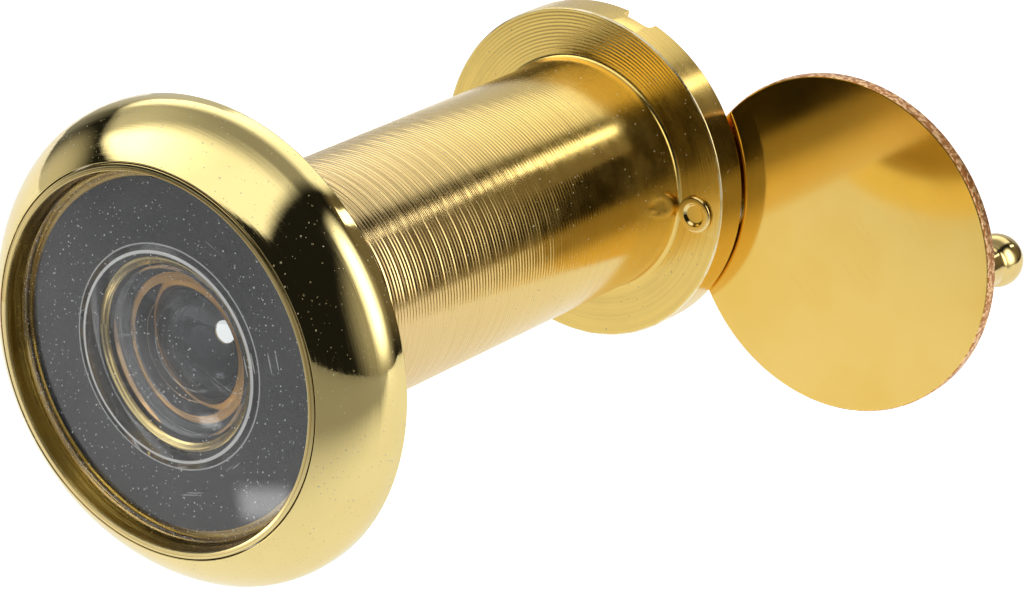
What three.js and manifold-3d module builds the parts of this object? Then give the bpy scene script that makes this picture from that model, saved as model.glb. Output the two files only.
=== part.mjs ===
// Door viewer (peephole) with a swing privacy cover, in millimetres, +Z up.
// The common axis of all the turned pieces is Y. The outside of the door is towards -Y and the
// room is towards +Y. The origin is the centre of the face that seats on the outside of the door.
// The pieces stand at their closest: the inner half is screwed fully onto the outer half.
import * as THREE from 'three';
import { mergeVertices } from 'three/addons/utils/BufferGeometryUtils.js';
import Module from 'manifold-3d';

const wasm = await Module();
wasm.setup();

// ---------- driving dimensions ----------
const SEGMENTS = 40; // facets round a turned piece
const FINE_SEGMENTS = 20; // facets round the rivet and the knob
const CLEARANCE = 0.05; // between pieces that sit against each other
const LOOSE = 0.08; // radial, between a loaded piece and its bore
const RUNNING = 0.1; // radial, between pieces that turn in each other
const EDGE_BREAK = 0.12; // chamfer on a turned edge
const CUTTER_OVERRUN = 1.0; // how far a cutting tool stands out of what it cuts

// outer half
const HEAD_RADIUS = 13.5;
const RIM_HEIGHT = 1.2; // straight rim behind the shoulder
const SHOULDER_INSET = 0.2; // rounded shoulder between the rim and the dome
const SHOULDER_RISE = 0.4;
const DOME_BULGE = 0.25; // how far the dome arc stands off its chord
const CUP_RADIUS = 10.8;
const LIP_HEIGHT = 4.38; // sharp inner edge of the burnished lip, from the door face
const LIP_WIDTH = 0.36;
const LIP_FALL = 0.08; // the lip's face follows the slope of the dome
const LENS_SEAT_RADIUS = 10.3;
const CUP_FLOOR = 2.5; // floor of the cup, from the door face
const MALE_THREAD_RADIUS = 6.0; // M12 x 1, crests drawn as a plain cylinder
const MALE_BORE_RADIUS = 5.2;
const MALE_LENGTH = 30.0;
const THREAD_LEAD = 0.4; // chamfer on the end of the thread

// lens stack in the outer half
const STACK_BORE_RADIUS = 5.0;
const STACK_MOUTH = 0.3; // chamfer round the mouth of the bore
const STACK_STOP = 1.8; // where the shoulder under the stack starts
const STACK_STOP_REAR = 2.4;
const STACK_STOP_RADIUS = 3.7;
const STACK_RADIUS = STACK_BORE_RADIUS - LOOSE;
const LENS_CHAMFER = 0.15;
const MASK_THICKNESS = 0.08;
const MASK_RADIUS = 9.65;
const MASK_INNER_RADIUS = 5.45;
const OBJECTIVE_EDGE = 3.27; // edge of the domed front, from the door face
const OBJECTIVE_CROWN = 0.66; // rise of the front from its edge to the axis
const OBJECTIVE_DISH_RADIUS = 5.75;
const OBJECTIVE_DISH_DEPTH = 0.8;
const OBJECTIVE_BEVEL = 0.4; // radial width of the bevel round the dish
const SECOND_FRONT = -2.15;
const SECOND_REAR = -0.7;
const SECOND_DISH_RADIUS = 3.9;
const SECOND_DISH_DEPTH = 1.2;
const BLACK_RING_THICKNESS = 0.06;
const BLACK_RING_INNER_RADIUS = 4.4;
const SPACER_THICKNESS = 0.6;
const SPACER_INNER_RADIUS = 3.75;
const THIRD_FRONT = 0.1;
const THIRD_DISH_RADIUS = 3.55;
const THIRD_DISH_DEPTH = 1.35;
const BAFFLE_WALL = 0.25;
const BAFFLE_INSET = 0.5; // how far the lining stops short of the tube's end

// inner half
const SLEEVE_RADIUS = 7.0; // passes a 14 mm hole in the door
const SLEEVE_FRONT = 0.3;
const FLANGE_RADIUS = 10.0;
const FLANGE_FRONT = 33.7; // thinnest door that the viewer clamps
const FLANGE_REAR = 35.85;
const EYE_HOLE_RADIUS = 5.0;
const EYE_HOLE_CHAMFER = 0.8;
const EYEPIECE_SEAT = 34.2; // shoulder that the eyepiece rests on
const EYEPIECE_EDGE = 1.4; // thickness of the eyepiece's edge
const EYEPIECE_CROWN = 1.2;
const EYEPIECE_RADIUS = MALE_THREAD_RADIUS - CLEARANCE;
const RETAINER_GAP = 0.6; // left for the crown of the eyepiece
const RETAINER_THICKNESS = 1.1;
const RETAINER_INNER_RADIUS = 5.3;
const SPANNER_SLOT_WIDTH = 0.8;
const SPANNER_SLOT_DEPTH = 0.5;
const SLOT_WIDTH = 2.0; // coin slot across the rear of the flange
const SLOT_DEPTH = 0.85;
const SLOT_ANGLE = THREE.MathUtils.degToRad(79); // from the pivot's direction

// cover
const PIVOT_OFFSET = 8.25; // rivet axis from the common axis; half of the cover's swing
const RIVET_RADIUS = 0.9;
const RIVET_END_RADIUS = 1.1; // peened end on the flange
const RIVET_END_HEIGHT = 0.25;
const RIVET_DIMPLE_RADIUS = 0.7;
const RIVET_DIMPLE_DEPTH = 0.15;
const RIVET_HEAD_RADIUS = 1.6;
const RIVET_HEAD_EDGE = 0.15;
const RIVET_HEAD_CROWN = 0.65;
const WASHER_RADIUS = 1.7;
const COVER_RADIUS = 10.0;
const COVER_THICKNESS = 0.8;
const COVER_GAP = 0.2; // between the flange and the cover, filled by the washer
const COVER_FRONT = FLANGE_REAR + COVER_GAP;
const COVER_REAR = COVER_FRONT + COVER_THICKNESS;
const COVER_OFFSET = 2 * PIVOT_OFFSET; // centre of the cover when it is swung open
const KNOB_RADIUS = 1.55; // round end
const KNOB_NECK_RADIUS = 1.2;
const KNOB_LENGTH = 4.8; // from the cover to the top of the round end
const KNOB_INSET = 1.85; // knob axis from the cover's edge
const KNOB_ANGLE = THREE.MathUtils.degToRad(3.5); // above the line through the rivet
const KNOB_X = (COVER_RADIUS - KNOB_INSET) * Math.cos(KNOB_ANGLE);
const KNOB_Z = (COVER_RADIUS - KNOB_INSET) * Math.sin(KNOB_ANGLE);
const KNOB_SPIGOT_RADIUS = 0.8;
const KNOB_SPIGOT_DEPTH = 0.5;

// ---------- materials ----------
const polishedBrass = { color: 0xe8d27a, roughness: 0.1, metalness: 1 };
const warmBrass = { color: 0xd9a441, roughness: 0.14, metalness: 1 };
const sleeveBrass = { color: 0xcfa75a, roughness: 0.28, metalness: 1 };
const copperyBrass = { color: 0xc98d55, roughness: 0.35, metalness: 1 };
const clearGlass = { color: 0xdfe3e0, roughness: 0.03, metalness: 0 };
const blackPaint = { color: 0x141414, roughness: 0.7, metalness: 0 };
const springSteel = { color: 0xb9b9b4, roughness: 0.3, metalness: 1 };

const viewer = new THREE.Group();
const fitted = new THREE.Group(); // turned pieces on the common axis
const cover = new THREE.Group(); // cover pieces, on the cover's own axis
cover.position.x = COVER_OFFSET;
viewer.add(fitted, cover);

// ---------- helpers ----------
const point = (radius, y) => new THREE.Vector2(radius, y);

// Solid of revolution about Y. The outline runs once round the section in [radius, y] pairs.
// An outline that starts and ends on the axis stays open there; any other is closed on itself.
function turned(outline, segments = SEGMENTS) {
  const points = outline.map(([radius, y]) => point(radius, y));
  if (THREE.ShapeUtils.area(points) < 0) points.reverse();
  const onAxis = points[0].x === 0 && points.at(-1).x === 0;
  if (!onAxis) points.push(points[0].clone());
  return new THREE.LatheGeometry(points, segments);
}

// Points of a circular arc between two section points, standing off the chord by `bulge`
// to the left of the way from start to end. Both end points are included.
function arc([r0, y0], [r1, y1], bulge, steps) {
  const chord = new THREE.Vector2(r1 - r0, y1 - y0);
  const half = chord.length() / 2;
  const along = chord.clone().normalize();
  const left = new THREE.Vector2(-along.y, along.x);
  const radius = (half * half + bulge * bulge) / (2 * Math.abs(bulge));
  const reach = Math.asin(half / radius);
  return Array.from({ length: steps + 1 }, (_, i) => {
    const angle = reach * (2 * i / steps - 1);
    const rise = Math.sign(bulge) * (radius * Math.cos(angle) - radius + Math.abs(bulge));
    const run = radius * Math.sin(angle) + half;
    return [r0 + along.x * run + left.x * rise, y0 + along.y * run + left.y * rise];
  });
}

// Flat ring with a rectangular section.
function ring(outer, inner, y0, y1, segments = SEGMENTS) {
  return turned([[inner, y0], [outer, y0], [outer, y1], [inner, y1]], segments);
}

// Closed mesh geometry to manifold solid, and back.
function solid(geometry) {
  const bare = geometry.clone();
  bare.deleteAttribute('normal');
  bare.deleteAttribute('uv');
  const merged = mergeVertices(bare, 1e-5);
  const vertProperties = new Float32Array(merged.attributes.position.array);
  const triVerts = new Uint32Array(merged.index.array);
  return new wasm.Manifold(new wasm.Mesh({ numProp: 3, vertProperties, triVerts }));
}

function geometryOf(body) {
  const mesh = body.getMesh();
  const geometry = new THREE.BufferGeometry();
  geometry.setAttribute('position', new THREE.BufferAttribute(mesh.vertProperties, 3));
  geometry.setIndex(new THREE.BufferAttribute(mesh.triVerts, 1));
  return geometry;
}

function cut(geometry, ...tools) {
  const whole = solid(geometry);
  return geometryOf(tools.reduce((body, tool) => body.subtract(solid(tool)), whole));
}

function addPiece(group, name, geometry, look) {
  const flat = geometry.index ? geometry.toNonIndexed() : geometry;
  flat.deleteAttribute('normal');
  flat.computeVertexNormals();
  const mesh = new THREE.Mesh(flat, new THREE.MeshStandardMaterial(look));
  mesh.name = name;
  group.add(mesh);
  return mesh;
}

// Cutting tools: a drill along Y, and a bar across the common axis for slots.
function drill(radius, x, z, y0, y1) {
  const tool = new THREE.CylinderGeometry(radius, radius, y1 - y0, FINE_SEGMENTS);
  return tool.translate(x, (y0 + y1) / 2, z);
}

function slotBar(length, width, y0, y1, angle) {
  const tool = new THREE.BoxGeometry(length, y1 - y0, width);
  return tool.rotateY(-angle).translate(0, (y0 + y1) / 2, 0);
}

// Half section of a spherical surface, from its mouth at `radius` to the axis. A positive depth
// moves the middle towards -Y, and a negative one towards +Y.
function dish(radius, y, depth, steps) {
  const sphere = (radius * radius + depth * depth) / (2 * Math.abs(depth));
  const reach = Math.asin(radius / sphere);
  return Array.from({ length: steps + 1 }, (_, i) => {
    const angle = reach * (1 - i / steps);
    const fall = sphere * Math.cos(angle) - sphere + Math.abs(depth);
    const r = i === steps ? 0 : sphere * Math.sin(angle);
    return [r, y - Math.sign(depth) * fall];
  });
}

// ---------- outer half ----------
function makeOuterBezel() {
  const bore = CUP_RADIUS + CLEARANCE;
  const front = -LIP_HEIGHT + LIP_FALL;
  const shoulder = [HEAD_RADIUS - SHOULDER_INSET, -RIM_HEIGHT - SHOULDER_RISE];
  const outline = [
    [bore, 0],
    [HEAD_RADIUS - EDGE_BREAK, 0],
    [HEAD_RADIUS, -EDGE_BREAK],
    [HEAD_RADIUS, -RIM_HEIGHT],
    ...arc(shoulder, [bore + CLEARANCE, front], DOME_BULGE, 6),
    [bore, front + CLEARANCE],
  ];
  return turned(outline);
}

function makeOuterBarrel() {
  const outline = [
    [MALE_BORE_RADIUS, MALE_LENGTH],
    [MALE_BORE_RADIUS, STACK_STOP_REAR],
    [STACK_STOP_RADIUS, STACK_STOP_REAR],
    [STACK_STOP_RADIUS, STACK_STOP],
    [STACK_BORE_RADIUS, STACK_STOP],
    [STACK_BORE_RADIUS, -CUP_FLOOR + STACK_MOUTH],
    [STACK_BORE_RADIUS + STACK_MOUTH, -CUP_FLOOR],
    [LENS_SEAT_RADIUS, -CUP_FLOOR],
    [LENS_SEAT_RADIUS, -OBJECTIVE_EDGE],
    [CUP_RADIUS - LIP_WIDTH, -LIP_HEIGHT],
    [CUP_RADIUS, -LIP_HEIGHT + LIP_FALL],
    [CUP_RADIUS, 0],
    [MALE_THREAD_RADIUS, 0],
    [MALE_THREAD_RADIUS, MALE_LENGTH - THREAD_LEAD],
    [MALE_THREAD_RADIUS - THREAD_LEAD, MALE_LENGTH],
  ];
  return turned(outline);
}

function makeLightMask() {
  const rear = -CUP_FLOOR - CLEARANCE;
  return ring(MASK_RADIUS, MASK_INNER_RADIUS, rear - MASK_THICKNESS, rear);
}

// Slightly domed in front, with a bevelled dish ground into the rear.
function makeObjectiveLens() {
  const radius = LENS_SEAT_RADIUS - LOOSE;
  const rear = -CUP_FLOOR - MASK_THICKNESS - 2 * CLEARANCE;
  const outline = [
    ...dish(radius, -OBJECTIVE_EDGE, OBJECTIVE_CROWN, 8).reverse(),
    [radius, rear],
    [OBJECTIVE_DISH_RADIUS + OBJECTIVE_BEVEL, rear],
    ...dish(OBJECTIVE_DISH_RADIUS, rear - LENS_CHAMFER, OBJECTIVE_DISH_DEPTH, 6),
  ];
  return turned(outline);
}

// Inner lens: flat in front, a deep dish ground into the rear.
function makeStackLens(front, rear, dishRadius, dishDepth) {
  const outline = [
    [0, front],
    [STACK_RADIUS - LENS_CHAMFER, front],
    [STACK_RADIUS, front + LENS_CHAMFER],
    [STACK_RADIUS, rear],
    ...dish(dishRadius, rear, dishDepth, 6),
  ];
  return turned(outline);
}

function makeStackSpacerRing() {
  const front = SECOND_REAR + CLEARANCE;
  return ring(STACK_RADIUS, BLACK_RING_INNER_RADIUS, front, front + BLACK_RING_THICKNESS);
}

function makeLensSpacer() {
  const rear = THIRD_FRONT - CLEARANCE;
  return ring(STACK_RADIUS, SPACER_INNER_RADIUS, rear - SPACER_THICKNESS, rear);
}

function makeBaffleTube() {
  const outer = MALE_BORE_RADIUS - LOOSE;
  return ring(outer, outer - BAFFLE_WALL, STACK_STOP_REAR + CLEARANCE, MALE_LENGTH - BAFFLE_INSET);
}

// ---------- inner half ----------
function makeInnerSleeve() {
  const bore = MALE_THREAD_RADIUS + RUNNING;
  const outline = [
    [bore, SLEEVE_FRONT],
    [SLEEVE_RADIUS - EDGE_BREAK, SLEEVE_FRONT],
    [SLEEVE_RADIUS, SLEEVE_FRONT + EDGE_BREAK],
    [SLEEVE_RADIUS, FLANGE_FRONT],
    [FLANGE_RADIUS - EDGE_BREAK, FLANGE_FRONT],
    [FLANGE_RADIUS, FLANGE_FRONT + EDGE_BREAK],
    [FLANGE_RADIUS, FLANGE_REAR - EDGE_BREAK],
    [FLANGE_RADIUS - EDGE_BREAK, FLANGE_REAR],
    [EYE_HOLE_RADIUS + EYE_HOLE_CHAMFER, FLANGE_REAR],
    [EYE_HOLE_RADIUS, FLANGE_REAR - EYE_HOLE_CHAMFER],
    [EYE_HOLE_RADIUS, EYEPIECE_SEAT],
    [bore, EYEPIECE_SEAT],
  ];
  const front = FLANGE_FRONT - CUTTER_OVERRUN;
  const rear = FLANGE_REAR + CUTTER_OVERRUN;
  const rivetHole = drill(RIVET_RADIUS + CLEARANCE, PIVOT_OFFSET, 0, front, rear);
  const coinSlot = slotBar(3 * FLANGE_RADIUS, SLOT_WIDTH, FLANGE_REAR - SLOT_DEPTH, rear, SLOT_ANGLE);
  return cut(turned(outline), rivetHole, coinSlot);
}

// Plano-convex, its flat side towards the eye.
function makeEyepieceLens() {
  const rear = EYEPIECE_SEAT - CLEARANCE;
  const edge = rear - EYEPIECE_EDGE;
  const outline = [
    ...dish(EYEPIECE_RADIUS - CLEARANCE, edge, EYEPIECE_CROWN, 6).reverse(),
    [EYEPIECE_RADIUS, edge + CLEARANCE],
    [EYEPIECE_RADIUS, rear],
    [0, rear],
  ];
  return turned(outline);
}

// Threaded ring with two spanner slots in its front face.
function makeEyepieceRetainingRing() {
  const rear = EYEPIECE_SEAT - EYEPIECE_EDGE - RETAINER_GAP;
  const front = rear - RETAINER_THICKNESS;
  const slotFloor = front + SPANNER_SLOT_DEPTH;
  const body = ring(MALE_THREAD_RADIUS, RETAINER_INNER_RADIUS, front, rear);
  const length = 3 * MALE_THREAD_RADIUS;
  return cut(body, slotBar(length, SPANNER_SLOT_WIDTH, front - CUTTER_OVERRUN, slotFloor, 0));
}

// Semi-tubular rivet: a dimpled, peened end on the flange and a round head behind the cover.
function makePivotRivet() {
  const endFront = FLANGE_FRONT - RIVET_END_HEIGHT;
  const headFront = COVER_REAR + CLEARANCE;
  const outline = [
    [0, endFront + RIVET_DIMPLE_DEPTH],
    [RIVET_DIMPLE_RADIUS - RIVET_DIMPLE_DEPTH, endFront + RIVET_DIMPLE_DEPTH],
    [RIVET_DIMPLE_RADIUS, endFront],
    [RIVET_END_RADIUS - EDGE_BREAK, endFront],
    [RIVET_END_RADIUS, endFront + EDGE_BREAK],
    [RIVET_END_RADIUS, FLANGE_FRONT - CLEARANCE],
    [RIVET_RADIUS, FLANGE_FRONT - CLEARANCE],
    [RIVET_RADIUS, headFront],
    [RIVET_HEAD_RADIUS, headFront],
    ...dish(RIVET_HEAD_RADIUS, headFront + RIVET_HEAD_EDGE, -RIVET_HEAD_CROWN, 4),
  ];
  return turned(outline, FINE_SEGMENTS).translate(PIVOT_OFFSET, 0, 0);
}

function makePivotWasher() {
  const front = FLANGE_REAR + CLEARANCE;
  const rear = COVER_FRONT - CLEARANCE;
  const washer = ring(WASHER_RADIUS, RIVET_RADIUS + CLEARANCE, front, rear, FINE_SEGMENTS);
  return washer.translate(PIVOT_OFFSET, 0, 0);
}

// ---------- cover, about its own centre ----------
function makeCoverDisc() {
  const outline = [
    [0, COVER_FRONT],
    [COVER_RADIUS - EDGE_BREAK, COVER_FRONT],
    [COVER_RADIUS, COVER_FRONT + EDGE_BREAK],
    [COVER_RADIUS, COVER_REAR - EDGE_BREAK],
    [COVER_RADIUS - EDGE_BREAK, COVER_REAR],
    [0, COVER_REAR],
  ];
  const front = COVER_FRONT - CUTTER_OVERRUN;
  const rear = COVER_REAR + CUTTER_OVERRUN;
  const pivotHole = drill(RIVET_RADIUS + RUNNING, -PIVOT_OFFSET, 0, front, rear);
  const spigotFloor = COVER_REAR - KNOB_SPIGOT_DEPTH - CLEARANCE;
  const spigotHole = drill(KNOB_SPIGOT_RADIUS + CLEARANCE, KNOB_X, KNOB_Z, spigotFloor, rear);
  return cut(turned(outline), pivotHole, spigotHole);
}

// Ball-ended stud with a spigot pressed into the back of the cover.
function makeCoverKnob() {
  const foot = COVER_REAR + CLEARANCE;
  const centre = COVER_REAR + KNOB_LENGTH - KNOB_RADIUS;
  const neckAngle = Math.PI - Math.asin(KNOB_NECK_RADIUS / KNOB_RADIUS);
  const steps = 8;
  const ball = Array.from({ length: steps }, (_, i) => {
    const angle = neckAngle * (1 - i / steps);
    return [KNOB_RADIUS * Math.sin(angle), centre + KNOB_RADIUS * Math.cos(angle)];
  });
  const outline = [
    [0, COVER_REAR - KNOB_SPIGOT_DEPTH],
    [KNOB_SPIGOT_RADIUS, COVER_REAR - KNOB_SPIGOT_DEPTH],
    [KNOB_SPIGOT_RADIUS, foot],
    [KNOB_NECK_RADIUS, foot],
    ...ball,
    [0, centre + KNOB_RADIUS],
  ];
  return turned(outline, FINE_SEGMENTS).translate(KNOB_X, 0, KNOB_Z);
}

const secondLens = makeStackLens(SECOND_FRONT, SECOND_REAR, SECOND_DISH_RADIUS, SECOND_DISH_DEPTH);
const thirdRear = STACK_STOP - CLEARANCE;
const thirdLens = makeStackLens(THIRD_FRONT, thirdRear, THIRD_DISH_RADIUS, THIRD_DISH_DEPTH);

addPiece(fitted, 'outer_bezel', makeOuterBezel(), polishedBrass);
addPiece(fitted, 'outer_barrel', makeOuterBarrel(), polishedBrass);
addPiece(fitted, 'objective_lens', makeObjectiveLens(), clearGlass);
addPiece(fitted, 'light_mask', makeLightMask(), blackPaint);
addPiece(fitted, 'stack_spacer_ring', makeStackSpacerRing(), blackPaint);
addPiece(fitted, 'second_lens', secondLens, clearGlass);
addPiece(fitted, 'lens_spacer', makeLensSpacer(), copperyBrass);
addPiece(fitted, 'third_lens', thirdLens, clearGlass);
addPiece(fitted, 'baffle_tube', makeBaffleTube(), blackPaint);

addPiece(fitted, 'eyepiece_lens', makeEyepieceLens(), clearGlass);
addPiece(fitted, 'eyepiece_retaining_ring', makeEyepieceRetainingRing(), warmBrass);

addPiece(fitted, 'inner_sleeve', makeInnerSleeve(), sleeveBrass);
addPiece(fitted, 'pivot_rivet', makePivotRivet(), warmBrass);
addPiece(fitted, 'pivot_washer', makePivotWasher(), springSteel);

addPiece(cover, 'cover_disc', makeCoverDisc(), warmBrass);
addPiece(cover, 'cover_knob', makeCoverKnob(), warmBrass);

export default viewer;
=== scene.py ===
# Door viewer with a swing privacy cover: finished meshes, materials, light and camera.
# The two halves share the Y axis, with the outside of the door towards -Y and +Z up.
# Lengths below are in millimetres and are turned into metres when a mesh or node is made.
import math

import bmesh
import bpy
from mathutils import Matrix, Vector


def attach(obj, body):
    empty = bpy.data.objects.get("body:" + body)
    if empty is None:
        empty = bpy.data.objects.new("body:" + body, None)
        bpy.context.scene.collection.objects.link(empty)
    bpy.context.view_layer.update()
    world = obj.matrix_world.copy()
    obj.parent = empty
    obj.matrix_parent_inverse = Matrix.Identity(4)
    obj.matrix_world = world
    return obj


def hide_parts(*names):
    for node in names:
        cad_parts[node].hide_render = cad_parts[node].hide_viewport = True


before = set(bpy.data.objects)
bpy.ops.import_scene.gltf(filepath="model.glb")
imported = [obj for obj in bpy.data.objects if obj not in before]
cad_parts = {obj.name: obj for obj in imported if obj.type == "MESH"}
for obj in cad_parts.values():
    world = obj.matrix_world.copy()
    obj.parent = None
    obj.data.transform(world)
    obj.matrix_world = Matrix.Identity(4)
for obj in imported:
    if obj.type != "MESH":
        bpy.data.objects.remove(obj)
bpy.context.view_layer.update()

MM = 0.001

# ---------- driving dimensions, as in the CAD model ----------
CLEARANCE = 0.05
LOOSE = 0.08
RUNNING = 0.1
HEAD_RADIUS = 13.5
RIM_HEIGHT = 1.2
SHOULDER_INSET = 0.2
SHOULDER_RISE = 0.4
SHOULDER_FILLET = 2.6  # rounds the shoulder, which is a plain chamfer in the CAD
DOME_BULGE = 0.25
CUP_RADIUS = 10.8
LIP_HEIGHT = 4.38
LIP_WIDTH = 0.36
LIP_FALL = 0.08
LENS_SEAT_RADIUS = 10.3
CUP_FLOOR = 2.5
MALE_THREAD_RADIUS = 6.0
MALE_THREAD_PITCH = 1.0
MALE_THREAD_DEPTH = 0.45  # the CAD draws this thread as a plain cylinder
MALE_BORE_RADIUS = 5.2
MALE_LENGTH = 30.0
THREAD_LEAD = 0.4  # rounded end behind the thread
STACK_BORE_RADIUS = 5.0
STACK_MOUTH = 0.3
STACK_STOP = 1.8
STACK_STOP_REAR = 2.4
STACK_STOP_RADIUS = 3.7
STACK_RADIUS = STACK_BORE_RADIUS - LOOSE
MASK_THICKNESS = 0.08
MASK_RADIUS = 9.65
MASK_INNER_RADIUS = 5.45
OBJECTIVE_EDGE = 3.27
OBJECTIVE_CROWN = 0.66
OBJECTIVE_DISH_RADIUS = 5.75
OBJECTIVE_DISH_DEPTH = 0.8
OBJECTIVE_BEVEL = 0.4
LENS_CHAMFER = 0.15
SECOND_FRONT = -2.15
SECOND_REAR = -0.7
SECOND_DISH_RADIUS = 3.9
SECOND_DISH_DEPTH = 1.2
BLACK_RING_THICKNESS = 0.06
BLACK_RING_INNER_RADIUS = 4.4
SPACER_THICKNESS = 0.6
SPACER_INNER_RADIUS = 3.75
THIRD_FRONT = 0.1
THIRD_DISH_RADIUS = 3.55
THIRD_DISH_DEPTH = 1.35
BAFFLE_WALL = 0.25
BAFFLE_INSET = 0.5
SLEEVE_RADIUS = 7.0
SLEEVE_FRONT = 0.3
FLANGE_RADIUS = 10.0
FLANGE_FRONT = 33.7
FLANGE_REAR = 35.85
EYE_HOLE_RADIUS = 5.0
EYE_HOLE_CHAMFER = 0.8
EYEPIECE_SEAT = 34.2
EYEPIECE_EDGE = 1.4
EYEPIECE_CROWN = 1.2
EYEPIECE_RADIUS = MALE_THREAD_RADIUS - CLEARANCE
RETAINER_GAP = 0.6
RETAINER_THICKNESS = 1.1
RETAINER_INNER_RADIUS = 5.3
SPANNER_SLOT_WIDTH = 0.8
SPANNER_SLOT_DEPTH = 0.5
SLOT_WIDTH = 2.0
SLOT_DEPTH = 0.85
SLOT_ANGLE = math.radians(79)
PIVOT_OFFSET = 8.25
RIVET_RADIUS = 0.9
RIVET_END_RADIUS = 1.1
RIVET_END_HEIGHT = 0.25
RIVET_DIMPLE_RADIUS = 0.7
RIVET_DIMPLE_DEPTH = 0.15
RIVET_HEAD_RADIUS = 1.6
RIVET_HEAD_EDGE = 0.15
RIVET_HEAD_CROWN = 0.65
WASHER_RADIUS = 1.7
COVER_RADIUS = 10.0
COVER_THICKNESS = 0.8
COVER_GAP = 0.2
COVER_FRONT = FLANGE_REAR + COVER_GAP
COVER_REAR = COVER_FRONT + COVER_THICKNESS
COVER_OFFSET = 2 * PIVOT_OFFSET
KNOB_RADIUS = 1.55
KNOB_NECK_RADIUS = 1.2
KNOB_LENGTH = 4.8
KNOB_INSET = 1.85
KNOB_ANGLE = math.radians(3.5)
KNOB_X = COVER_OFFSET + (COVER_RADIUS - KNOB_INSET) * math.cos(KNOB_ANGLE)
KNOB_Z = (COVER_RADIUS - KNOB_INSET) * math.sin(KNOB_ANGLE)
KNOB_SPIGOT_RADIUS = 0.8
KNOB_SPIGOT_DEPTH = 0.5
OVERRUN = 1.0  # how far a cutting tool stands out of what it cuts

# ---------- surface relief ----------
GROOVE_PITCH = 0.256  # turning grooves round the sleeve
GROOVE_DEPTH = 0.036
GROOVE_END = 30.0
GROOVE_UNEVEN = 0.28  # share of the depth that changes from groove to groove
GROOVE_FADES = ((8.5, 2, 0.3), (14, 13, 0.75), (GROOVE_END - 4, 4, 1.0))  # y, length, share lost
CREST_FLAT = 0.14  # share of the pitch
FLANK_SHARE = 0.66  # share of the pitch that both flanks take, about 72 degrees between them
RUN_IN = (0.4, 0.8)  # the thread deepens from this y, over this length
RUN_OUT = 0.6  # and runs out over this length before the tube's end
RIB_PITCH = 0.5  # fine ribs in the lining
RIB_DEPTH = 0.06
LATHE_PITCH = 0.21  # turning marks on the flange's front face

# ---------- mesh fineness ----------
ROUND = 256  # segments round a large turned piece
RELIEF_ROUND = 192  # segments round the thread and the grooves
LINING_ROUND = 128
SMALL_ROUND = 96  # segments round the rivet, the knob, drilled holes and the floor
DISH_STEPS = 30  # points along a lens's dish or crown
FRONT_STEPS = 40  # points along the objective's domed front
DOME_STEPS = 48  # points along the bezel's dome
SHOULDER_STEPS = 24
SHOULDER_JOIN = 8  # point of the dome where the rounded shoulder meets it
KNOB_STEPS = 28
RIVET_STEPS = 14
THREAD_STEP = 0.085  # between points along the thread
GROOVE_STEPS = 8  # rows of points to a groove
CREASE = math.radians(38)  # sharper edges than this stay crisp
MERGE = 1e-7  # metres; points nearer than this after a cut are one
SAME_POINT = 1e-6  # millimetres

# ---------- colours ----------
HEAD_GOLD = ((0.87, 0.71, 0.31), (0.81, 0.64, 0.25))
HEAD_DUST = (0.62, 0.57, 0.42)
LIP_GOLD = ((0.88, 0.74, 0.36), (0.62, 0.44, 0.15))
# Painted shade: this dark brown on the cup's wall and seat stands in for the recess's shade and the
# brass reflecting itself.
SHADED_WALL_BROWN = ((0.46, 0.31, 0.07), (0.24, 0.135, 0.018))
MOUTH_GOLD = ((0.70, 0.56, 0.25), (0.24, 0.17, 0.06))
BLACKENED = (0.02, 0.02, 0.02)
SLEEVE_GOLD = ((0.80, 0.60, 0.28), (0.86, 0.62, 0.18))  # head end, flange end
FEED_BROWN = (0.62, 0.42, 0.13)
SLEEVE_DUST = (0.62, 0.55, 0.4)
WORN_EDGE = (1.0, 0.9, 0.62)
COVER_GOLD = ((0.92, 0.65, 0.19), (0.88, 0.58, 0.13))
RAW_COPPER = ((0.50, 0.19, 0.05), (1.0, 0.66, 0.34))
RIVET_GOLD = ((0.86, 0.68, 0.30), (0.76, 0.55, 0.20))
SPACER_ORANGE = ((0.60, 0.33, 0.09), (0.40, 0.20, 0.05))
STEEL_GREY = ((0.58, 0.57, 0.54), (0.44, 0.42, 0.39))
PAINT_BLACK = ((0.012, 0.013, 0.014), (0.022, 0.022, 0.022))
GLASS_CLEAR = (0.97, 0.98, 0.98)
GLASS_SPECK = (0.85, 0.86, 0.86)
GLASS_WORN = (0.92, 0.92, 0.9)
GLASS_BLOOM = (0.45, 0.47, 0.5)  # tint of the inner lenses' reflections
GLASS_INDEX = 1.49


# ---------- mesh helpers ----------
def rounded(corners, steps=5):
    """Section outline with each (radius, y, fillet) corner turned into a small arc."""
    points = []
    for i, (r, y, fillet) in enumerate(corners):
        p = Vector((r, y))
        if not fillet:
            points.append(p)
            continue
        u = (Vector(corners[i - 1][:2]) - p).normalized()
        v = (Vector(corners[(i + 1) % len(corners)][:2]) - p).normalized()
        half = u.angle(v) / 2
        centre = p + (u + v).normalized() * fillet / math.sin(half)
        start = p + u * fillet / math.tan(half) - centre
        end = p + v * fillet / math.tan(half) - centre
        turn = math.atan2(start.x * end.y - start.y * end.x, start.dot(end))
        for k in range(steps + 1):
            points.append(centre + Matrix.Rotation(turn * k / steps, 2) @ start)
    return points


def arc(start, end, bulge, steps):
    """Points of a circular arc that stands off its chord by bulge, to the left of the way."""
    a, b = Vector(start), Vector(end)
    along = (b - a).normalized()
    left = Vector((-along.y, along.x))
    half = (b - a).length / 2
    radius = (half * half + bulge * bulge) / (2 * abs(bulge))
    reach = math.asin(half / radius)
    points = []
    for k in range(steps + 1):
        angle = reach * (2 * k / steps - 1)
        rise = math.copysign(radius * math.cos(angle) - radius + abs(bulge), bulge)
        points.append(a + along * (radius * math.sin(angle) + half) + left * rise)
    return points


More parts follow.
